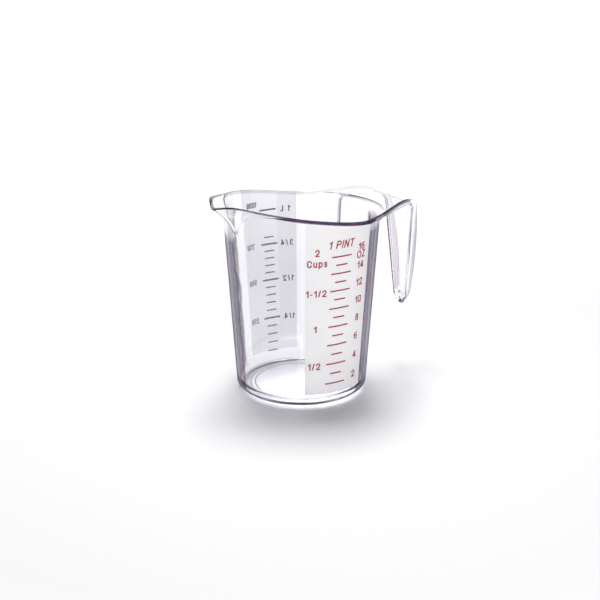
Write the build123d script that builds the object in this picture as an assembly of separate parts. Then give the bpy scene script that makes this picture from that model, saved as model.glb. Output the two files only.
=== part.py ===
from build123d import *
from math import asin, acos, atan2, cos, sin, tan, pi, radians, degrees, sqrt
import os

# A clear pouring cup with a spout, an open hook handle and two printed scales.
# Millimetres. The origin is on the cup's axis, on the plane that it stands on.
# The handle points along +X, the spout along -X, and the US scale faces -Y.

# Wall and base
base_radius = 39.2           # outside of the tapered wall, carried down to the standing plane
mouth_flare = 7.3            # how much wider it is at mouth_height
mouth_height = 112.0
wall = 1.8                   # thickness of the wall, the spout and the handle's side walls
floor_thickness = 1.8
foot_height = 0.4            # the foot ring holds the floor this far off the table
foot_setback = 8.3           # outside of the foot ring, from the outside of the wall
foot_width = 2.4
base_corner = 4.5            # outside corner between wall and floor
floor_corner = 6.5           # inside corner between wall and floor

# Rim, seen from the side: places out from the wall and the rim's height against mouth_height
tip_overhang = 13.0          # spout tip, out from the wall at the mouth
tip_rise = 6.0               # and above mouth_height
lip_setback = 4.5            # highest place of the spout's rim, behind the tip
lip_rise = 2.5               # and above it
neck_setback = 13.6          # where the spout's rim runs back to the wall
neck_rise = 1.7
middle_rise = 0.3            # over the axis
low_drop = 2.4               # lowest place of the rim, towards the handle
apron_run = 8.0              # where the rim runs out to the handle
apron_drop = 0.1

# Spout
spout_root_sink = 0.6        # how far inside the wall its underside begins, so that it leaves at an angle
spout_nose_radius = 4.0

# Handle, seen from the side
handle_run = 20.0            # centre of the bend at the handle's top, out from the wall at the mouth
bend_drop = 11.8             # and below the rim's height over the axis
bend_radius = 10.0           # of the rim as it turns down
bend_start_angle = 82.0      # the bend's arc begins here, measured from level
bend_lean_angle = 10.0       # and ends here, so the grip leaves it leaning out
grip_spread = 11.7           # end of the grip's outer edge, out from the bend's centre
grip_length = 58.5           # and below it
web = 2.0                    # thickness of the plate between the handle's side walls
web_drop = 2.3               # the plate's level underside stays this far below the rim's lowest place
web_root_radius = 3.5        # of the underside, from the wall to the level stretch
web_bend_radius = 7.0        # underside of the plate at the top of the grip
web_top_run = 5.3            # underside of the plate at the top of the grip, out from the bend's centre
web_end_setback = 3.6        # and at the grip's end, behind its outer edge

# Handle, half widths seen along the bend's diagonal
shoulder_half_width = 14.0
shoulder_run = 9.0           # out from the bend's centre
shoulder_blend = 25.0
grip_end_half_width = 5.2
grip_foot_setback = 2.2      # lowest place of the handle, behind the grip's outer edge
grip_foot_drop = 2.5         # and below its end
grip_end_corner = 4.4

# Levels of the two top lines, below mouth_height
us_top_drop = 17.89          # one US pint, 473 ml, fills the cup to here
metric_top_drop = 12.7       # and 505 ml to here

# Printed scales: places round the wall are angles from the handle, in degrees
film = 0.08                  # thickness of each printed film
film_gap = 0.02              # clearance under each film
panel_rim_gap = 0.5          # the milky panels end this far below the rim, and clear of the spout
line_width = 0.8
letter_stroke = 0.72
letter_gap = 0.75            # between two letters' strokes
word_gap = 1.3               # added for a space

us_panel_angle = -93.0       # middle of the milky panel behind the US scale
us_panel_half_angle = 27.5
us_panel_low = 8.5
us_line_angle = -92.8        # middle of the top line
us_lean = 1.2                # lines and cup figures shift sideways by this much over the wall's height
us_print_drop = 1.0          # the US print sits this much below its levels
us_long_line = 13.0
us_short_line = 7.4
us_ounces = range(2, 17)
pint_angle = -93.2
pint_height = 4.8            # of the capitals
pint_rise = 7.2              # middle of the word, above the 16 ounce line
cups_angle = -111.9
cups_height = 4.2
cups_drop = 0.7              # middle of a figure, below its line
cups_word_drop = 3.2         # "2" and "Cups" share one line's place, this far above and below it
ounces_angle = -74.6
ounces_height = 4.5
ounces_rise = 2.4            # middle of a figure, above its line
ounces_top_rise = 3.6        # middle of "16", above its line
ounces_word_drop = 1.3       # middle of "OZ", below the same line

metric_panel_angle = 86.0
metric_panel_half_angle = 25.0
metric_panel_low = 8.5
metric_line_angle = 85.0
metric_long_line = 11.6
metric_long_width = 1.1
metric_short_line = 7.0
metric_steps = [*range(1, 17), 20]
litre_angle = 66.8
litre_lean_angle = 3.0       # the figures turn by this much from the floor to the top line
litre_height = 3.9
ml_angle = 103.8
ml_height = 3.7
ml_top_angle = 99.8          # the top figure stands a little to the side
ml_top_rise = 4.2            # and this far above its line

# Shares
low_reach_share = 0.78       # of the mouth's radius, where the rim is lowest
flank_reach_share = 0.4      # of the tip's reach, where the rim falls towards the middle
flank_rise_share = 0.473     # of the neck's height over the middle
spout_flank_offset_share = 0.562   # centre of the flank's arc, as a share of the spout's reach
spout_flank_drop_share = 0.194     # how much smaller its radius is than the wall's, as the same share
spout_rise_share = 1.923     # from where the underside's curve begins up to the tip, of the overhang
spout_lip_share = 0.846      # turn of the underside at the lip: 1 is one full arc, 0.5 is straight
spout_height_shares = (0, 0.25, 0.5, 0.7, 0.85, 1, 1.2)
pint_slant_share = 0.2
ml_width_share = 0.7
ml_gap_share = 0.6
litre_gap_share = 1.25

# Letters: strokes through shares of the capital height
# A pair of points is an arc through the first of them to the second
bowl_shares = [(0, 0.27), (0, 0.45), ((0.23, 0.72), (0.46, 0.45)), (0.46, 0.27), ((0.23, 0), (0, 0.27))]
letter_shares = {
    "0": [[(0, 0.27), (0, 0.73), ((0.27, 1), (0.54, 0.73)), (0.54, 0.27), ((0.27, 0), (0, 0.27))]],
    "1": [[(0, 0.74), (0.24, 0.93)], [(0.26, 1), (0.26, 0)]],
    "2": [[(0, 0.73), ((0.27, 1), (0.477, 0.556)), (0, 0), (0.56, 0)]],
    "3": [[(0.03, 0.83), ((0.38, 0.96), (0.26, 0.53))], [(0.26, 0.53), ((0.52, 0.26), (0.01, 0.17))]],
    "4": [[(0.56, 0.26), (0, 0.26), (0.38, 1)], [(0.4, 1), (0.4, 0)]],
    "5": [[(0.5, 1), (0.09, 1), (0.04, 0.525)], [(0.04, 0.525), ((0.56, 0.32), (0, 0.17))]],
    "6": [[(0, 0.28), ((0.28, 0.56), (0.56, 0.28)), ((0.28, 0), (0, 0.28))],
          [(0, 0.28), ((0.09, 0.8), (0.5, 0.94))]],
    "7": [[(0, 1), (0.54, 1), (0.18, 0)]],
    "8": [[(0.04, 0.77), ((0.27, 1), (0.5, 0.77)), ((0.27, 0.54), (0.04, 0.77))],
          [(0, 0.27), ((0.27, 0.54), (0.54, 0.27)), ((0.27, 0), (0, 0.27))]],
    "/": [[(0, 0), (0.26, 1)]],
    "-": [[(0, 0.4), (0.22, 0.4)]],
    "L": [[(0, 1), (0, 0), (0.45, 0)]],
    "P": [[(0, 0), (0, 1)], [(0, 1), (0.3, 1), ((0.55, 0.74), (0.3, 0.48)), (0, 0.48)]],
    "I": [[(0, 0), (0, 1)]],
    "N": [[(0, 0), (0, 1)], [(0, 1), (0.56, 0)], [(0.56, 0), (0.56, 1)]],
    "T": [[(0, 1), (0.56, 1)], [(0.28, 1), (0.28, 0)]],
    "O": [[(0, 0.36), (0, 0.64), ((0.36, 1), (0.72, 0.64)), (0.72, 0.36), ((0.36, 0), (0, 0.36))]],
    "Z": [[(0, 1), (0.54, 1), (0, 0), (0.56, 0)]],
    "C": [[(0.58, 0.7), ((0.31, 1), (0, 0.66)), (0, 0.34), ((0.31, 0), (0.58, 0.3))]],
    "u": [[(0, 0.72), (0, 0.22), ((0.22, 0), (0.44, 0.22))], [(0.44, 0.72), (0.44, 0)]],
    "p": [bowl_shares, [(0, 0.72), (0, -0.26)]],
    "s": [[(0.38, 0.6), ((0.06, 0.64), (0.2, 0.37))], [(0.2, 0.37), ((0.34, 0.08), (0, 0.12))]],
}

seam_angle = 90.0            # turned surfaces close here, clear of the spout and the handle
overrun = 5.0                # how far cutting solids run past what they cut
print_depth = 3.0            # how far lettering solids reach each side of the wall

slope = mouth_flare / mouth_height
mouth_radius = base_radius + mouth_flare
floor_top = foot_height + floor_thickness
tip_reach = mouth_radius + tip_overhang
tip_height = mouth_height + tip_rise
middle_height = mouth_height + middle_rise
low_height = mouth_height - low_drop
top = tip_height + lip_rise + overrun
spout_rise = tip_overhang * spout_rise_share
spout_root_height = tip_height - spout_rise
bend_reach = mouth_radius + handle_run
bend_height = middle_height - bend_drop
grip_end_reach = bend_reach + grip_spread
grip_end_height = bend_height - grip_length
shoulder_reach = bend_reach + shoulder_run
web_top_reach = bend_reach + web_top_run
web_end_reach = grip_end_reach - web_end_setback
grip_foot_reach = grip_end_reach - grip_foot_setback
grip_foot_height = grip_end_height - grip_foot_drop


def wall_radius(height):
    return base_radius + slope * height


def side_face(*edges):
    return Plane.XZ * make_face(edges)


def lathe(face):
    return Rot(0, 0, seam_angle) * revolve(face, Axis.Z)


def cut_sideways(face):
    return extrude(face, amount=mouth_radius + overrun, both=True)


# Cup: the tapered wall and the floor, as a full outside and a full inside

def tapered_body(low, inset, corner):
    low_corner = (wall_radius(low) - inset, low)
    high_corner = (wall_radius(top) - inset, top)
    outline = make_face(Polyline((0, low), low_corner, high_corner, (0, top), close=True))
    outline = fillet(outline.vertices().sort_by_distance(low_corner)[0], corner)
    return lathe(Plane.XZ * outline)


def foot_ring():
    outer = base_radius - foot_setback
    inner = outer - foot_width
    inside_floor = floor_top - floor_thickness / 2
    corners = ((inner, 0), (outer, 0), (outer, inside_floor), (inner, inside_floor))
    outline = make_face(Polyline(*corners, close=True))
    edges = outline.vertices().group_by(Axis.Y)[0]
    return lathe(Plane.XZ * fillet(edges, foot_height / 2))


# Spout: level outlines of one shape, slid outwards along the curve of its underside

def spout_outline(inset, nose_reach, height):
    root_radius = wall_radius(spout_root_height)
    overhang = tip_reach - root_radius
    centres = (0, overhang * spout_flank_offset_share, tip_reach - spout_nose_radius)
    flank_radius = root_radius - overhang * spout_flank_drop_share
    radii = [radius - inset for radius in (root_radius, flank_radius, spout_nose_radius)]
    slide = tip_reach - inset - nose_reach
    turns = [asin((radii[i] - radii[i + 1]) / (centres[i + 1] - centres[i])) for i in (0, 1)]

    def place(circle, turn, side=1):
        return (slide - centres[circle] - radii[circle] * sin(turn), side * radii[circle] * cos(turn))

    edges = [ThreePointArc(place(2, turns[1]), place(2, pi / 2), place(2, turns[1], -1))]
    for side in (1, -1):
        arc_start = place(1, turns[0], side)
        arc_end = place(1, turns[1], side)
        edges.append(Line(place(0, turns[0], side), arc_start))
        edges.append(ThreePointArc(arc_start, place(1, sum(turns) / 2, side), arc_end))
        edges.append(Line(arc_end, place(2, turns[1], side)))
    edges.append(Line(place(0, turns[0]), place(0, turns[0], -1)))
    return Plane.XY.offset(height) * make_face(edges)


def spout(inset):
    root = wall_radius(spout_root_height) - spout_root_sink
    reach = tip_reach - root
    turn = 2 * spout_lip_share * atan2(reach, spout_rise)
    radius = (spout_rise * tan(turn) - reach) / (sin(turn) * tan(turn) - 1 + cos(turn)) + inset
    outlines = []
    for share in spout_height_shares:
        height = spout_rise * share
        curved = min(height, radius * sin(turn))
        nose_reach = root - inset + radius - sqrt(radius**2 - curved**2) + (height - curved) * tan(turn)
        outlines.append(spout_outline(inset, nose_reach, spout_root_height + height))
    return loft(outlines)


# Handle: a level apron that runs out from the wall and turns down into the grip

def along_bend(reach, height):
    return (height - reach) / sqrt(2)


def handle_prism(inset):
    spread = atan2(shoulder_half_width, shoulder_reach) + acos(
        wall_radius(low_height) / sqrt(shoulder_half_width**2 + shoulder_reach**2))
    start = (wall_radius(low_height) * cos(spread), wall_radius(low_height) * sin(spread))
    shoulder = (along_bend(shoulder_reach, low_height), shoulder_half_width)
    foot = (along_bend(grip_foot_reach, grip_foot_height), grip_end_half_width)
    upper = [(along_bend(start[0], low_height), start[1]), shoulder, foot]
    outline = make_face(Polyline(*upper, *[(u, -v) for u, v in reversed(upper)], close=True))
    for (along, across), radius in ((shoulder, shoulder_blend), (foot, grip_end_corner)):
        corners = [outline.vertices().sort_by_distance((along, side * across))[0] for side in (1, -1)]
        outline = fillet(corners, radius)
    if inset:
        outline = offset(outline, -inset)
    seen_plane = Plane(origin=(0, 0, 0), x_dir=(-1, 0, 1), z_dir=(1, 0, 1))
    return extrude(seen_plane * outline, amount=top + tip_reach, both=True)


def handle(web_offset, inset):
    level = low_height - web_drop
    root_height = level - web_root_radius
    root = wall_radius(root_height)
    start = root + web_root_radius
    far = grip_end_reach + overrun
    fan = side_face(
        Line((root - web_offset - wall, root_height), (root - web_offset, root_height)),
        CenterArc((start, root_height), web_root_radius + web_offset, 180, -90),
        Polyline((start, level + web_offset), (far, level + web_offset), (far, top),
                 (root - web_offset - wall, top), (root - web_offset - wall, root_height)),
    )
    lean = atan2(web_end_reach - web_top_reach, level - web_bend_radius - grip_end_height)
    centre = (web_top_reach - web_bend_radius, level - web_bend_radius)
    bend = web_bend_radius + web_offset
    low = grip_foot_height - overrun
    drop = (centre[1] + bend * sin(lean) - low) / cos(lean)
    end = (centre[0] + bend * cos(lean), centre[1] + bend * sin(lean))
    strap = side_face(
        Line((start, level + web_offset), (centre[0], level + web_offset)),
        CenterArc(centre, bend, 90, degrees(lean) - 90),
        Polyline(end, (end[0] + drop * sin(lean), low), (far, low), (far, top), (start, top),
                 (start, level + web_offset)),
    )
    return (lathe(fan) + cut_sideways(strap)) & handle_prism(inset)


def above_rim():
    lead = overrun
    lean = radians(bend_lean_angle)
    bend_turn = bend_lean_angle - bend_start_angle
    bend = CenterArc((bend_reach, bend_height), bend_radius, bend_start_angle, bend_turn)
    neck_height = tip_height + neck_rise
    flank_height = middle_height + (neck_height - middle_height) * flank_rise_share
    rim = Spline(
        (-tip_reach - lead, tip_height - lead), (-tip_reach, tip_height),
        (lip_setback - tip_reach, tip_height + lip_rise), (neck_setback - tip_reach, neck_height),
        (-tip_reach * flank_reach_share, flank_height), (0, middle_height),
        (mouth_radius * low_reach_share, low_height),
        (mouth_radius + apron_run, mouth_height - apron_drop), bend @ 0,
    )
    grip = TangentArc(bend @ 1, (grip_end_reach, grip_end_height), tangent=(sin(lean), -cos(lean)))
    far = grip_end_reach + 2 * overrun
    low = grip_foot_height - 2 * overrun
    left = -tip_reach - 3 * overrun
    high = top + overrun
    rest = Polyline(grip @ 1, (grip_end_reach, low), (far, low), (far, high), (left, high),
                    (left, tip_height - lead), rim @ 0)
    return cut_sideways(side_face(rim, bend, grip, rest))


# Printed films: layer 0 lies on the wall, layer 1 on the panel

def patch(angle, half_angle, low, high, layer):
    inner = film_gap + layer * (film + film_gap)
    corners = [(wall_radius(height) + lift, height) for height, lift in (
        (low, inner), (high, inner), (high, inner + film), (low, inner + film))]
    outline = make_face(Polyline(*corners, close=True))
    return Rot(0, 0, angle - half_angle) * revolve(Plane.XZ * outline, Axis.Z, 2 * half_angle)


def panel(angle, half_angle, low, layer):
    strip = patch(angle, half_angle, low, top, layer)
    return strip - Pos(0, 0, -panel_rim_gap) * above_rim() - spout(-panel_rim_gap)


def level(top_drop, share):
    start = wall_radius(floor_top) - wall
    corner = (1 - pi / 4) * floor_corner**2 * 2 * pi * start
    full = pi * ((wall_radius(mouth_height - top_drop) - wall) ** 3 - start**3) / (3 * slope) - corner
    inside = (start**3 + 3 * slope * (full * share + corner) / pi) ** (1 / 3)
    return (inside - base_radius + wall) / slope


def us_level(ounces):
    return level(us_top_drop, ounces / us_ounces[-1]) - us_print_drop


def metric_level(steps):
    return level(metric_top_drop, steps / metric_steps[-1])


def scale_line(angle, height, length, width=line_width):
    half_angle = degrees(length / 2 / wall_radius(height))
    return patch(angle, half_angle, height - width / 2, height + width / 2, 1)


def leaning(angle, height):
    below = us_level(us_ounces[-1]) - height
    return angle - degrees(us_lean * below / mouth_height / wall_radius(height))


def us_line(ounces, length):
    height = us_level(ounces)
    return scale_line(leaning(us_line_angle, height), height, length)


def metric_line(steps, length, width):
    return scale_line(metric_line_angle, metric_level(steps), length, width)


def stroke_face(points, place):
    here = points[0]
    edges = []
    for step in points[1:]:
        if isinstance(step[0], tuple):
            edges.append(ThreePointArc(place(here), place(step[0]), place(step[1])))
            here = step[1]
        else:
            edges.append(Line(place(here), place(step)))
            here = step
    if here == points[0]:
        middle = make_face(edges)
        return offset(middle, letter_stroke / 2) - offset(middle, -letter_stroke / 2)
    return Face(Wire([edge.edge() for edge in edges]).offset_2d(letter_stroke / 2))


def letter_width(letter, size):
    steps = [step for stroke in letter_shares[letter] for step in stroke]
    ends = [end for step in steps for end in (step if isinstance(step[0], tuple) else (step,))]
    return size * max(x for x, y in ends)


# Each letter is a short prism across the wall, trimmed to the film's own two cones

def letter_solids(letter, size, width_share, slant_share, turn, height, shell):
    half = letter_width(letter, size * width_share) / 2

    def place(share):
        y = (share[1] - 1 / 2) * size
        return (share[0] * size * width_share - half + slant_share * y, y)

    out = (cos(turn), sin(turn), 0)
    spot = (wall_radius(height) * out[0], wall_radius(height) * out[1], height)
    outline = Sketch() + [stroke_face(stroke, place) for stroke in letter_shares[letter]]
    wall_plane = Plane(origin=spot, x_dir=(-out[1], out[0], 0), z_dir=out)
    return (extrude(wall_plane * outline, print_depth, both=True) & shell).solids()


def lettering(words, shell, capital_height, width_share=1, gap=letter_gap, slant_share=0):
    size = capital_height - letter_stroke
    solids = []
    for text, angle, height in words:
        widths = [word_gap if c == " " else letter_width(c, size * width_share) + letter_stroke for c in text]
        spans = [width + gap for width in widths]
        pen = (gap - sum(spans)) / 2
        for c, span in zip(text, spans):
            turn = radians(angle) + (pen + (span - gap) / 2) / wall_radius(height)
            if c != " ":
                solids += letter_solids(c, size, width_share, slant_share, turn, height, shell)
            pen += span
    return solids


cup_body = tapered_body(foot_height, 0, base_corner) + foot_ring() + spout(0) + handle(0, 0)
cup_body -= tapered_body(floor_top, wall, floor_corner) + spout(wall) + handle(web, wall)
cup_body -= above_rim()

us_panel = (us_panel_angle, us_panel_half_angle, us_panel_low)
metric_panel = (metric_panel_angle, metric_panel_half_angle, metric_panel_low)
us_ink = panel(*us_panel, 1)
metric_ink = panel(*metric_panel, 1)
pint_line = us_level(us_ounces[-1])
litre_line = metric_level(metric_steps[-1])

even_ounces = [n for n in us_ounces if n % 2 == 0]
odd_ounces = [n for n in us_ounces if n % 2]
quarter_steps = [n for n in metric_steps if n % 5 == 0]
other_steps = [n for n in metric_steps if n % 5]

cup_words = [("2", cups_angle, pint_line + cups_word_drop), ("Cups", cups_angle, pint_line - cups_word_drop)]
for text, ounces in (("1-1/2", 12), ("1", 8), ("1/2", 4)):
    cup_words.append((text, leaning(cups_angle, us_level(ounces)), us_level(ounces) - cups_drop))

ounce_words = [(str(n), ounces_angle, us_level(n) + ounces_rise) for n in even_ounces[:-1]]
ounce_words.append(("16", ounces_angle, pint_line + ounces_top_rise))
ounce_words.append(("OZ", ounces_angle, pint_line - ounces_word_drop))

litre_texts = ("1/4", "1/2", "3/4", "1 L")
litre_words = []
for text, n in zip(litre_texts, quarter_steps):
    turned = litre_angle + litre_lean_angle * n / metric_steps[-1]
    litre_words.append((text, turned, metric_level(n)))
ml_words = [(str(250 * i), ml_angle, metric_level(n)) for i, n in enumerate(quarter_steps[:-1], 1)]
ml_words.append(("1000", ml_top_angle, litre_line + ml_top_rise))

pieces = {
    "cup_body": cup_body,
    "us_scale_panel": panel(*us_panel, 0),
    "metric_scale_panel": panel(*metric_panel, 0),
    "us_even_ounce_lines": [us_line(n, us_long_line) for n in even_ounces],
    "us_odd_ounce_lines": [us_line(n, us_short_line) for n in odd_ounces],
    "metric_quarter_litre_lines": [metric_line(n, metric_long_line, metric_long_width)
                                   for n in quarter_steps],
    "metric_step_lines": [metric_line(n, metric_short_line, line_width) for n in other_steps],
    "us_pint_label": lettering([("1 PINT", pint_angle, pint_line + pint_rise)], us_ink, pint_height,
                               slant_share=pint_slant_share),
    "us_cup_labels": lettering(cup_words, us_ink, cups_height),
    "us_ounce_labels": lettering(ounce_words, us_ink, ounces_height),
    "metric_litre_labels": lettering(litre_words, metric_ink, litre_height, gap=letter_gap * litre_gap_share),
    "metric_ml_labels": lettering(ml_words, metric_ink, ml_height, ml_width_share,
                                  gap=letter_gap * ml_gap_share),
}

os.makedirs("parts", exist_ok=True)
for name, shape in pieces.items():
    export_step(Compound(children=shape) if isinstance(shape, list) else shape, f"parts/{name}.step")
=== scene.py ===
import bmesh
import bpy
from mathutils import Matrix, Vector


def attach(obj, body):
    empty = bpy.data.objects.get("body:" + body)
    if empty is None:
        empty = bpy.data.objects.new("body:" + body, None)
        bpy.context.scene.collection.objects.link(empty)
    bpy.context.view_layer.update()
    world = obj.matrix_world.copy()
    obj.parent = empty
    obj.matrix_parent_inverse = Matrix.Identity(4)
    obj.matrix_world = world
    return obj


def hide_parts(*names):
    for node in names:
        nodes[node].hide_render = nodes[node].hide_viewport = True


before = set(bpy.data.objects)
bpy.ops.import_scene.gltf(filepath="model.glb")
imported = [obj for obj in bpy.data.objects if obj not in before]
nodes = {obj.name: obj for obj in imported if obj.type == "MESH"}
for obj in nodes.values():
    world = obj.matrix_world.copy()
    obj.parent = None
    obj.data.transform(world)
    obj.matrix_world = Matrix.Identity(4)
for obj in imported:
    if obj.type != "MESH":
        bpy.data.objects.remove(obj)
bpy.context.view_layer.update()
print("cup: frame loaded,", len(nodes), "nodes")

layout = {"columnWidth": 220, "rowHeight": 260}    # of the node trees


def setInputs(tree, node, values):
    # each value is plain or another node's output
    for name, value in values.items():
        socket = node.inputs[name]
        if isinstance(value, bpy.types.NodeSocket):
            tree.links.new(value, socket)
        else:
            socket.default_value = value
    return node


def addNode(tree, kind, **values):
    return setInputs(tree, tree.nodes.new(kind), values)


def useGroup(tree, group, **values):
    node = tree.nodes.new("ShaderNodeGroup")
    node.node_tree = group
    return setInputs(tree, node, values)


def mathNode(tree, operation, *values):
    node = tree.nodes.new("ShaderNodeMath")
    node.operation = operation
    return setInputs(tree, node, dict(enumerate(values))).outputs[0]


def product(tree, first, *others):
    for other in others:
        first = mathNode(tree, "MULTIPLY", first, other)
    return first


def greatest(tree, first, *others):
    for other in others:
        first = mathNode(tree, "MAXIMUM", first, other)
    return first


def ramped(tree, value, low, high, toLow=0.0, toHigh=1.0, kind="SMOOTHSTEP", clamp=True):
    node = tree.nodes.new("ShaderNodeMapRange")
    node.interpolation_type = kind
    node.clamp = clamp
    setInputs(tree, node, {"Value": value, "From Min": low, "From Max": high,
                           "To Min": toLow, "To Max": toHigh})
    return node.outputs["Result"]


def curved(tree, value, points):
    # straight pieces through the points, the first at 0 and the last at 1
    node = addNode(tree, "ShaderNodeFloatCurve", Value=value)
    line = node.mapping.curves[0]
    for point in points[1:-1]:
        line.points.new(*point)
    line.points[0].location = points[0]
    line.points[-1].location = points[-1]
    for point in line.points:
        point.handle_type = "VECTOR"
    node.mapping.update()
    return node.outputs[0]


def mixedColour(tree, share, first, second):
    # sockets 6 and 7 of a Mix node are its colours
    node = tree.nodes.new("ShaderNodeMix")
    node.data_type = "RGBA"
    return setInputs(tree, node, {0: share, 6: first, 7: second}).outputs[2]


def mixedShader(tree, share, first, second):
    node = tree.nodes.new("ShaderNodeMixShader")
    return setInputs(tree, node, {0: share, 1: first, 2: second}).outputs[0]


def axes(tree, vector):
    return addNode(tree, "ShaderNodeSeparateXYZ", Vector=vector).outputs


def distance(tree, vector):
    node = tree.nodes.new("ShaderNodeVectorMath")
    node.operation = "LENGTH"
    return setInputs(tree, node, {0: vector}).outputs["Value"]


def objectPlace(tree):
    return tree.nodes.new("ShaderNodeTexCoord").outputs["Object"]


def layOut(tree):
    # nodes in columns, from left to right as their links run
    column = {node.name: 0 for node in tree.nodes}
    for _ in range(len(column)):
        for link in tree.links:
            before, after = link.from_node.name, link.to_node.name
            column[before] = max(column[before], column[after] + 1)
    rows = {}
    for node in tree.nodes:
        place = column[node.name]
        rows[place] = rows.get(place, 0) + 1
        node.location = (-layout["columnWidth"] * place, -layout["rowHeight"] * rows[place])


def newGroup(name, inputs, outputs):
    group = bpy.data.node_groups.new(name, "ShaderNodeTree")
    for socketName, kind, value in inputs:
        socket = group.interface.new_socket(socketName, in_out="INPUT", socket_type=kind)
        socket.default_value = value
    for socketName, kind in outputs:
        group.interface.new_socket(socketName, in_out="OUTPUT", socket_type=kind)
    return group, group.nodes.new("NodeGroupInput"), group.nodes.new("NodeGroupOutput")


def newMaterial(name):
    material = bpy.data.materials.new(name)
    material.use_nodes = True
    material.node_tree.nodes.clear()
    return material, material.node_tree


def finished(material, **outputs):
    addNode(material.node_tree, "ShaderNodeOutputMaterial", **outputs)
    layOut(material.node_tree)
    return material


grain = {
    "slow": {"Detail": 2.0, "Roughness": 0.5},
    "fine": {"Detail": 3.0, "Roughness": 0.6},
    "slowShare": 0.6,                   # the rest of the height is the fine noise
    "spread": (0.35, 0.65),             # noise between these is stretched to the whole range
}


def unevennessGroup():
    # slow and fine unevenness, for moulded plastic, film and ink
    group, start, end = newGroup(
        "Surface unevenness",
        [("Slow Scale", "NodeSocketFloat", 60.0),
         ("Fine Scale", "NodeSocketFloat", 900.0),
         ("Colour A", "NodeSocketColor", (1, 1, 1, 1)),
         ("Colour B", "NodeSocketColor", (0.9, 0.9, 0.9, 1)),
         ("Rough Low", "NodeSocketFloat", 0.1),
         ("Rough High", "NodeSocketFloat", 0.2)],
        [("Colour", "NodeSocketColor"),
         ("Roughness", "NodeSocketFloat"),
         ("Height", "NodeSocketFloat")])
    given = start.outputs
    place = objectPlace(group)
    slow = addNode(group, "ShaderNodeTexNoise", Vector=place, Scale=given["Slow Scale"],
                   **grain["slow"])
    fine = addNode(group, "ShaderNodeTexNoise", Vector=place, Scale=given["Fine Scale"],
                   **grain["fine"])
    finePart = mathNode(group, "MULTIPLY", fine.outputs["Fac"], 1 - grain["slowShare"])
    height = mathNode(group, "MULTIPLY_ADD", slow.outputs["Fac"], grain["slowShare"], finePart)
    share = ramped(group, height, *grain["spread"], kind="LINEAR")
    colour = mixedColour(group, share, given["Colour A"], given["Colour B"])
    roughness = ramped(group, height, *grain["spread"], given["Rough Low"], given["Rough High"],
                       kind="LINEAR")
    setInputs(group, end, {"Colour": colour, "Roughness": roughness, "Height": height})
    layOut(group)
    return group


unevenness = unevennessGroup()

# all lengths are in metres, in the frame of the cup: X runs from the spout to the handle, Z is up
rim = {
    "lowest": 0.10945,                  # the mouth's rim lies above this height
    "facingUp": 0.5,
    "sideways": 0.02,                   # the rim's faces slope less than this from side to side
    "gentleTurn": 0.45,                 # bends up to this, in radians, belong to the rim as well
    "weld": 1e-7,
    "ends": (-0.0592, 0.0664),          # where the painted dark line under the rim starts and stops along X
    "heights": (0.105, 0.125),          # its curve counts from the first to the second
    "steps": 28,
    "width": 0.0021,
    "fullDark": 0.75,                   # this share of the width has no fade
    "farFade": (0.004, -0.012),         # along Y, from the far half to the near half: the painted shade is darker on the near half
    "farShare": 0.14,
}


def findRim(bm, welded):
    # from the faces above the lowest height it follows gentle bends, and so runs down the grip
    level = {face for face in bm.faces if abs(face.normal.y) < rim["sideways"]}
    around = {}
    for face in level:
        for vert in face.verts:
            around.setdefault(welded[vert], []).append(face)
    found = {face for face in level
             if face.normal.z > rim["facingUp"] and face.calc_center_median().z > rim["lowest"]}
    todo = list(found)
    while todo:
        face = todo.pop()
        for vert in face.verts:
            for other in around[welded[vert]]:
                if other not in found and other.normal.angle(face.normal) < rim["gentleTurn"]:
                    found.add(other)
                    todo.append(other)
    return found


def dressedCup():
    # a copy of the moulded body that marks its rim, so that the material knows where it runs
    mesh = nodes["cup_body"].data.copy()
    mesh.name = "clear_cup"
    bm = bmesh.new()
    bm.from_mesh(mesh)
    joined = bmesh.ops.find_doubles(bm, verts=bm.verts, dist=rim["weld"])["targetmap"]
    welded = {vert: joined.get(vert, vert) for vert in bm.verts}
    faces = findRim(bm, welded)
    print("cup: rim faces", len(faces))
    chosen = {face.index for face in faces}
    # along X to 0.01 mm, and the height to 0.001 mm
    points = sorted({(round(vert.co.x, 5), round(vert.co.z, 6))
                     for face in faces for vert in face.verts})
    bm.free()
    marks = mesh.attributes.new("rim", "FLOAT", "FACE")
    marks.data.foreach_set("value", [float(i in chosen) for i in range(len(mesh.polygons))])
    body = bpy.data.objects.new("clear_cup", mesh)
    bpy.context.scene.collection.objects.link(body)
    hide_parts("cup_body")
    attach(body, "root")
    return body, points


def rimHeightAt(points, x):
    upper = [point for point in points if point[1] > rim["lowest"]]
    left = max((point for point in upper if point[0] <= x), default=upper[0])
    right = min((point for point in upper if point[0] > x), default=upper[-1])
    if right[0] <= left[0]:
        return left[1]
    share = min(max((x - left[0]) / (right[0] - left[0]), 0), 1)
    return left[1] + (right[1] - left[1]) * share


def rimLineGroup(points):
    # painted shade: 1 just under the rim, all the way round the mouth, a dark line that is weaker
    # on the far half
    group, start, end = newGroup("Rim line", [("Position", "NodeSocketVector", (0, 0, 0))],
                                 [("Line", "NodeSocketFloat")])
    x, y, z = axes(group, start.outputs["Position"])
    left, right = rim["ends"]
    low, high = rim["heights"]
    curve = []
    for i in range(rim["steps"] + 1):
        share = i / rim["steps"]
        height = rimHeightAt(points, left + (right - left) * share)
        curve.append((share, (height - low) / (high - low)))
    along = ramped(group, x, left, right, kind="LINEAR")
    rimHeight = mathNode(group, "MULTIPLY_ADD", curved(group, along, curve), high - low, low)
    below = mathNode(group, "SUBTRACT", rimHeight, z)
    band = ramped(group, below, rim["width"], rim["width"] * rim["fullDark"])
    near = ramped(group, y, *rim["farFade"], rim["farShare"], 1.0)
    line = product(group, band, near, mathNode(group, "LESS_THAN", x, right))
    setInputs(group, end, {"Line": line})
    layOut(group)
    return group


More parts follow.
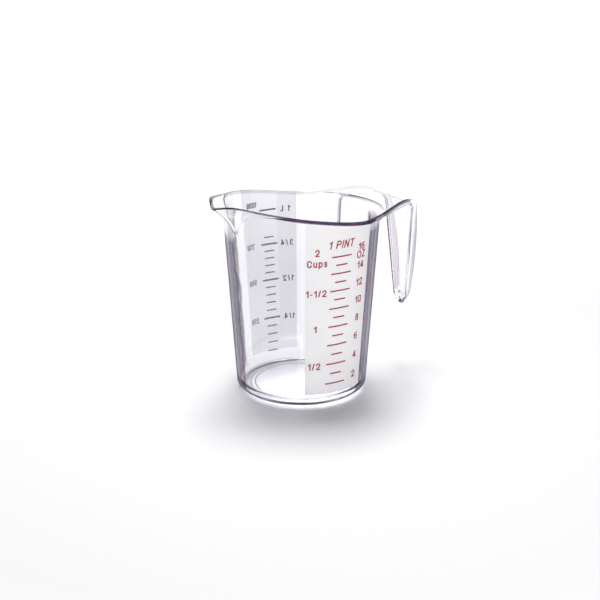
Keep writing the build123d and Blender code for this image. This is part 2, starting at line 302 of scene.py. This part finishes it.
def strip(tree, value, middle, half, fullDark):
    # 1 where the value is close to the middle
    off = mathNode(tree, "ABSOLUTE", mathNode(tree, "SUBTRACT", value, middle))
    return ramped(tree, off, half, half * fullDark)


grip = {
    # the web's face, half the width and the outer edge, low on the grip and just under its bend
    "low": {"height": 0.042, "web": 0.0746, "half": 0.0059, "outer": 0.0782},
    "high": {"height": 0.101, "web": 0.0718, "half": 0.0131, "outer": 0.0765},
    "top": 0.1055,                      # no line runs above this
    "start": 0.066,                     # nor nearer to the wall than this
    "width": 0.0013,
    "cornerFull": 0.6,                  # the shares of the width that have no fade
    "edgeFull": 0.5,
    "sides": (-0.001, 0.001),           # along Y, where the near side turns into the far one
    "nearCorner": 0.1,                  # how dark each painted line is
    "farCorner": 1.0,
    "outerEdge": 0.35,
}


def gripLines(tree, place):
    # painted shade: 1 along the corners of the web and the outer edges of the grip, darkest on the
    # far corner
    x, y, z = axes(tree, place)
    low, high = grip["low"], grip["high"]
    width = grip["width"]
    web, half, outer = (ramped(tree, z, low["height"], high["height"], low[name], high[name],
                               kind="LINEAR", clamp=False) for name in ("web", "half", "outer"))
    aside = mathNode(tree, "SUBTRACT", half, mathNode(tree, "ABSOLUTE", y))
    atSide = ramped(tree, aside, width, width * grip["cornerFull"])
    atWeb = ramped(tree, mathNode(tree, "SUBTRACT", x, web), width, width * grip["cornerFull"])
    share = ramped(tree, y, *grip["sides"], grip["nearCorner"], grip["farCorner"])
    atEdge = ramped(tree, mathNode(tree, "SUBTRACT", outer, x), width, width * grip["edgeFull"],
                    0.0, grip["outerEdge"])
    lines = greatest(tree, product(tree, atSide, atWeb, share), product(tree, atEdge, atSide))
    return product(tree, lines, mathNode(tree, "GREATER_THAN", x, grip["start"]),
                   mathNode(tree, "GREATER_THAN", z, low["height"]),
                   mathNode(tree, "LESS_THAN", z, grip["top"]))


floorEdges = {
    "radii": (0.0284, 0.0312, 0.0345),  # painted shade: dark rings at the foot's edges, as the floor shows them from above
    "half": 0.0004,
    "fullDark": 0.4,
    "below": 0.006,
    "share": 0.34,
}


def floorRings(tree, place):
    x, y, z = axes(tree, place)
    away = distance(tree, addNode(tree, "ShaderNodeCombineXYZ", X=x, Y=y).outputs[0])
    rings = [strip(tree, away, radius, floorEdges["half"], floorEdges["fullDark"])
             for radius in floorEdges["radii"]]
    onFloor = mathNode(tree, "LESS_THAN", z, floorEdges["below"])
    return product(tree, greatest(tree, *rings), onFloor, floorEdges["share"])


uprightPair = {
    "angles": (0.421, 0.448),           # of two short upright lines on the wall, beside the handle
    "shares": (1.0, 0.5),
    "half": 0.009,
    "fullDark": 0.4,
    "heights": (0.088, 0.1085),
    "fades": (0.004, 0.002),            # at the lower and the upper end
    "within": 0.0475,                   # along X, so that the apron stays clear
}


def uprightPairLines(tree, place):
    # two short dark upright lines on the wall, fading out at both ends
    x, y, z = axes(tree, place)
    turn = mathNode(tree, "ARCTAN2", y, x)
    lines = [product(tree, strip(tree, turn, angle, uprightPair["half"], uprightPair["fullDark"]), share)
             for angle, share in zip(uprightPair["angles"], uprightPair["shares"])]
    low, high = uprightPair["heights"]
    lowFade, highFade = uprightPair["fades"]
    return product(tree, greatest(tree, *lines), ramped(tree, z, low, low + lowFade),
                   ramped(tree, z, high, high - highFade),
                   mathNode(tree, "LESS_THAN", x, uprightPair["within"]))


edgeColour = (0.46, 0.41, 0.50, 1)      # painted shade of the walls where they are seen edge-on
cup = {
    "glass": {"IOR": 1.57, "Transmission Weight": 1.0, "Metallic": 0.0},
    "inside": {"Color": (0.42, 0.40, 0.62, 1), "Density": 9.0},
    "clear": (0.955, 0.955, 0.968, 1),
    # painted shade: the colour of the thin dark lines
    "line": (0.27, 0.21, 0.31, 1),
    "skin": {"Slow Scale": 45.0, "Fine Scale": 500.0, "Rough Low": 0.0, "Rough High": 0.03},
    "wave": {"Scale": 38.0, "Detail": 1.0},
    "waveHeight": {"Strength": 0.2, "Distance": 0.0003},
    "facing": {"Blend": 0.5},
    "upright": (0.6, 0.25),             # how level a face is, at most 1, to count as a wall
    "level": (0.95, 0.99),              # and as a floor
    # painted shade: how dark a wall is painted, from 0 for face-on to 1 for edge-on
    "bands": ((0.53, 0.0), (0.57, 0.9), (0.63, 0.55), (0.76, 0.65), (0.86, 1.0)),
    "outermost": (0.86, 0.92),
    "outermostShare": 0.7,
    "edgeShare": 0.92,
    "lineShare": 0.9,
    "upwards": (1, 1, 0.5),             # stretches the two noises below along the height
    "ripple": {"Scale": 170.0, "Detail": 2.0},
    "waver": 0.05,                      # how far the ripple moves the bands
    "stress": {"Scale": 60.0, "Detail": 1.0},
    "stressHues": ((0.36, (0.36, 0.44, 0.51, 1)), (0.45, edgeColour), (0.56, edgeColour),
                   (0.66, (0.56, 0.385, 0.525, 1))),
    "stressFade": (0.66, 0.76),
    # the painted dark edges fade out between these heights: under the spout's opening, and
    # everywhere
    "spoutHeights": (0.094, 0.102),
    "spoutReach": (-0.02, -0.035),
    "topHeights": (0.1015, 0.106),
    "gripReach": (0.050, 0.056),
    "gripShare": 0.12,                  # what is left of them on the grip
    "wallShade": (0.33, 0.33, 0.36, 1),
    "flatShade": (0.93, 0.93, 0.94, 1),
}


def wallMask(tree, place, upright):
    x, y, z = axes(tree, place)
    underSpout = product(tree, ramped(tree, z, *cup["spoutHeights"]),
                         ramped(tree, x, *cup["spoutReach"]))
    faded = greatest(tree, underSpout, ramped(tree, z, *cup["topHeights"]))
    return product(tree, upright, mathNode(tree, "SUBTRACT", 1.0, faded),
                   ramped(tree, x, *cup["gripReach"], 1.0, cup["gripShare"]))


def stressColours(tree, upwards, wavy):
    # stress colours from moulding, which show only along the edges
    noise = addNode(tree, "ShaderNodeTexNoise", Vector=upwards, **cup["stress"])
    hues = addNode(tree, "ShaderNodeValToRGB", Fac=noise.outputs["Fac"])
    stops = hues.color_ramp.elements
    for i, (position, colour) in enumerate(cup["stressHues"]):
        stop = stops[i] if i < len(stops) else stops.new(position)
        stop.position = position
        stop.color = colour
    plain = ramped(tree, wavy, *(value + cup["waver"] for value in cup["stressFade"]))
    return mixedColour(tree, plain, hues.outputs["Color"], edgeColour)


def clearPlastic():
    material, tree = newMaterial("Clear moulded plastic")
    place = objectPlace(tree)
    waver = cup["waver"]
    stretched = addNode(tree, "ShaderNodeMapping", Vector=place, Scale=cup["upwards"])
    upwards = stretched.outputs["Vector"]
    ripple = addNode(tree, "ShaderNodeTexNoise", Vector=upwards, **cup["ripple"]).outputs["Fac"]
    facing = addNode(tree, "ShaderNodeLayerWeight", **cup["facing"]).outputs["Facing"]
    wavy = mathNode(tree, "MULTIPLY_ADD", ripple, waver * 2, facing)
    normal = tree.nodes.new("ShaderNodeNewGeometry").outputs["Normal"]
    lean = mathNode(tree, "ABSOLUTE", axes(tree, normal)["Z"])
    upright = ramped(tree, lean, *cup["upright"])

    # thin dark lines: painted shade along the rim, on the grip and as rings on the floor, and two
    # short upright lines on the wall
    marks = tree.nodes.new("ShaderNodeAttribute")
    marks.attribute_name = "rim"
    band = useGroup(tree, rimBand, Position=place).outputs["Line"]
    atRim = product(tree, band, greatest(tree, marks.outputs["Fac"], upright))
    line = greatest(tree, atRim, gripLines(tree, place), uprightPairLines(tree, place),
                    floorRings(tree, place))

    # painted shade: only the upright walls are painted dark edge-on; floor and apron stay clear
    onWall = wallMask(tree, place, upright)
    bands = [(value + waver, share) for value, share in cup["bands"]]
    lastShare = bands[-1][1]
    edge = product(tree, curved(tree, wavy, [(0, 0), *bands, (1, lastShare)]), onWall)
    start, end = cup["outermost"]
    outermost = product(tree, onWall, ramped(tree, wavy, start + waver, end + waver, 0.0,
                                             cup["outermostShare"]))
    stressed = stressColours(tree, upwards, wavy)
    tint = mixedColour(tree, edge, cup["clear"], stressed)

    skin = useGroup(tree, unevenness, **cup["skin"])
    wave = addNode(tree, "ShaderNodeTexNoise", Vector=place, **cup["wave"])
    bump = addNode(tree, "ShaderNodeBump", Height=wave.outputs["Fac"], **cup["waveHeight"])
    shader = addNode(tree, "ShaderNodeBsdfPrincipled", **cup["glass"], **{
        "Base Color": mixedColour(tree, line, tint, cup["line"]),
        "Roughness": skin.outputs["Roughness"],
        "Normal": bump.outputs["Normal"]})

    # painted shade: the edges and the thin lines let the light through only in a dark tint
    most = greatest(tree, product(tree, edge, cup["edgeShare"]),
                    product(tree, line, cup["lineShare"]))
    paintedShadeColour = mixedColour(tree, greatest(tree, line, outermost), stressed, cup["line"])
    paintedShade = addNode(tree, "ShaderNodeBsdfTransparent", Color=paintedShadeColour)
    edged = mixedShader(tree, most, shader.outputs["BSDF"], paintedShade.outputs["BSDF"])

    # lamps reach the floor and the far wall through the cup
    path = tree.nodes.new("ShaderNodeLightPath")
    level = ramped(tree, lean, *cup["level"])
    shadeColour = mixedColour(tree, level, cup["wallShade"], cup["flatShade"])
    shade = addNode(tree, "ShaderNodeBsdfTransparent", Color=shadeColour)
    surface = mixedShader(tree, path.outputs["Is Shadow Ray"], edged, shade.outputs["BSDF"])
    inside = addNode(tree, "ShaderNodeVolumeAbsorption", **cup["inside"])
    return finished(material, Surface=surface, Volume=inside.outputs["Volume"])


body, rimPoints = dressedCup()
rimBand = rimLineGroup(rimPoints)
body.data.materials.clear()
body.data.materials.append(clearPlastic())
print("cup: clear body dressed")

film = {
    "IOR": 1.5,
    "skin": {"Slow Scale": 120.0, "Fine Scale": 1500.0, "Rough Low": 0.35, "Rough High": 0.5},
    "panels": {
        "Milky us panel": {
            "node": "us_scale_panel", "cover": 0.74, "through": (0.97, 0.96, 0.97, 1),
            "skin": {"Colour A": (0.95, 0.93, 0.94, 1), "Colour B": (0.97, 0.96, 0.97, 1)}},
        "Milky metric panel": {
            "node": "metric_scale_panel", "cover": 0.08, "through": (0.935, 0.935, 0.945, 1),
            "skin": {"Colour A": (0.80, 0.79, 0.86, 1), "Colour B": (0.84, 0.83, 0.89, 1)}},
    },
}


def milkyFilm(name, look):
    material, tree = newMaterial(name)
    skin = useGroup(tree, unevenness, **film["skin"], **look["skin"])
    # the film leaves the painted dark line along the rim free
    band = useGroup(tree, rimBand, Position=objectPlace(tree))
    shader = addNode(tree, "ShaderNodeBsdfPrincipled", **{
        "IOR": film["IOR"],
        "Base Color": skin.outputs["Colour"],
        "Roughness": skin.outputs["Roughness"],
        "Alpha": mathNode(tree, "SUBTRACT", 1.0, band.outputs["Line"])})
    through = addNode(tree, "ShaderNodeBsdfTransparent", Color=look["through"])
    surface = mixedShader(tree, look["cover"], through.outputs["BSDF"], shader.outputs["BSDF"])
    return finished(material, Surface=surface)


for name, look in film["panels"].items():
    nodes[look["node"]].material_slots[0].material = milkyFilm(name, look)
print("cup: panels dressed")

ink = {
    "IOR": 1.5,
    "skin": {"Slow Scale": 300.0, "Fine Scale": 2500.0, "Rough Low": 0.4, "Rough High": 0.6},
    "relief": {"Strength": 0.3, "Distance": 0.00005},
    "prints": {
        "Dark red ink": {
            "nodes": ["us_even_ounce_lines", "us_odd_ounce_lines", "us_pint_label", "us_cup_labels",
                      "us_ounce_labels"],
            "skin": {"Colour A": (0.28, 0.012, 0.022, 1), "Colour B": (0.35, 0.02, 0.03, 1)}},
        "Navy ink": {
            "nodes": ["metric_quarter_litre_lines", "metric_step_lines", "metric_litre_labels",
                      "metric_ml_labels"],
            "skin": {"Colour A": (0.012, 0.016, 0.05, 1), "Colour B": (0.025, 0.03, 0.075, 1)}},
    },
}


def printedInk(name, look):
    material, tree = newMaterial(name)
    skin = useGroup(tree, unevenness, **ink["skin"], **look["skin"])
    bump = addNode(tree, "ShaderNodeBump", Height=skin.outputs["Height"], **ink["relief"])
    shader = addNode(tree, "ShaderNodeBsdfPrincipled", **{
        "IOR": ink["IOR"],
        "Base Color": skin.outputs["Colour"],
        "Roughness": skin.outputs["Roughness"],
        "Normal": bump.outputs["Normal"]})
    return finished(material, Surface=shader.outputs["BSDF"])


for name, look in ink["prints"].items():
    material = printedInk(name, look)
    for node in look["nodes"]:
        nodes[node].material_slots[0].material = material
print("cup: inks dressed")

studio = {
    "floorSize": 6.0,
    "floorHeight": -0.0002,             # just under the foot
    "floor": {"Base Color": (0.80, 0.80, 0.81, 1), "Roughness": 0.9, "Specular IOR Level": 0.0,
              "Emission Color": (1, 1, 1, 1)},
    "glowReach": (0.25, 1.2),           # away from the cup, the floor turns white
    "glow": (0.02, 0.9),
    "light": {"Color": (0.98, 0.985, 1.0, 1), "Strength": 0.14},
    # white at the horizon and greyer overhead, so that the clear plastic has something to show
    "skyHeights": (0.25, 0.9),
    "sky": (1.0, 0.42),
}


def seenDirectly(tree):
    # 1 for what the camera sees, also through glass or as a gloss, and 0 for light
    path = tree.nodes.new("ShaderNodeLightPath").outputs
    seen = greatest(tree, path["Is Camera Ray"], path["Is Glossy Ray"], path["Is Transmission Ray"])
    return product(tree, seen, mathNode(tree, "LESS_THAN", path["Diffuse Depth"], 0.5))


def paleFloor():
    material, tree = newMaterial("Pale floor")
    away = distance(tree, objectPlace(tree))
    rise = ramped(tree, away, *studio["glowReach"], *studio["glow"], kind="LINEAR")
    shader = addNode(tree, "ShaderNodeBsdfPrincipled", **studio["floor"], **{
        "Emission Strength": product(tree, seenDirectly(tree), rise)})
    return finished(material, Surface=shader.outputs["BSDF"])


def studioWorld():
    world = bpy.data.worlds.new("Studio")
    world.use_nodes = True
    tree = world.node_tree
    tree.nodes.clear()
    height = axes(tree, tree.nodes.new("ShaderNodeTexCoord").outputs["Generated"])["Z"]
    sky = ramped(tree, height, *studio["skyHeights"], *studio["sky"], kind="LINEAR")
    backdrop = addNode(tree, "ShaderNodeBackground", Color=sky, Strength=1.0)
    light = addNode(tree, "ShaderNodeBackground", **studio["light"])
    surface = mixedShader(tree, seenDirectly(tree), light.outputs[0], backdrop.outputs[0])
    addNode(tree, "ShaderNodeOutputWorld", Surface=surface)
    layOut(tree)
    return world


bpy.ops.mesh.primitive_plane_add(size=studio["floorSize"], location=(0, 0, studio["floorHeight"]))
studioFloor = bpy.context.object
studioFloor.name = "studio_floor"
studioFloor.data.materials.append(paleFloor())
bpy.context.scene.world = studioWorld()
print("cup: floor and backdrop ready")

lamps = {
    "key_softbox": {"place": (0.08, 0.26, 1.05), "size": (0.45, 0.45), "power": 12.8},
    "fill_softbox": {"place": (-0.25, -1.0, 0.3), "size": (0.8, 0.5), "power": 6.0},
}
lampTarget = (0, 0, 0.05)


def aimAt(thing, target):
    direction = Vector(target) - thing.location
    thing.rotation_euler = direction.to_track_quat("-Z", "Y").to_euler()


for name, lamp in lamps.items():
    lampData = bpy.data.lights.new(name, "AREA")
    lampData.shape = "RECTANGLE"
    lampData.size, lampData.size_y = lamp["size"]
    lampData.energy = lamp["power"]
    softbox = bpy.data.objects.new(name, lampData)
    bpy.context.scene.collection.objects.link(softbox)
    softbox.location = lamp["place"]
    aimAt(softbox, lampTarget)
print("cup: lamps ready")

view = {
    "place": (-0.373533, -0.569918, 0.287751),
    "target": (-0.000722, 0.000472, 0.053653),
    "lens": 71.72,
    "sensor": 36,
    "nearest": 0.01,
}
cameraData = bpy.data.cameras.new("Photo camera")
cameraData.lens = view["lens"]
cameraData.sensor_width = view["sensor"]
cameraData.clip_start = view["nearest"]
camera = bpy.data.objects.new("Photo camera", cameraData)
bpy.context.scene.collection.objects.link(camera)
camera.location = view["place"]
aimAt(camera, view["target"])
bpy.context.scene.camera = camera
bpy.context.scene.view_settings.view_transform = "Standard"
print("cup: camera ready")
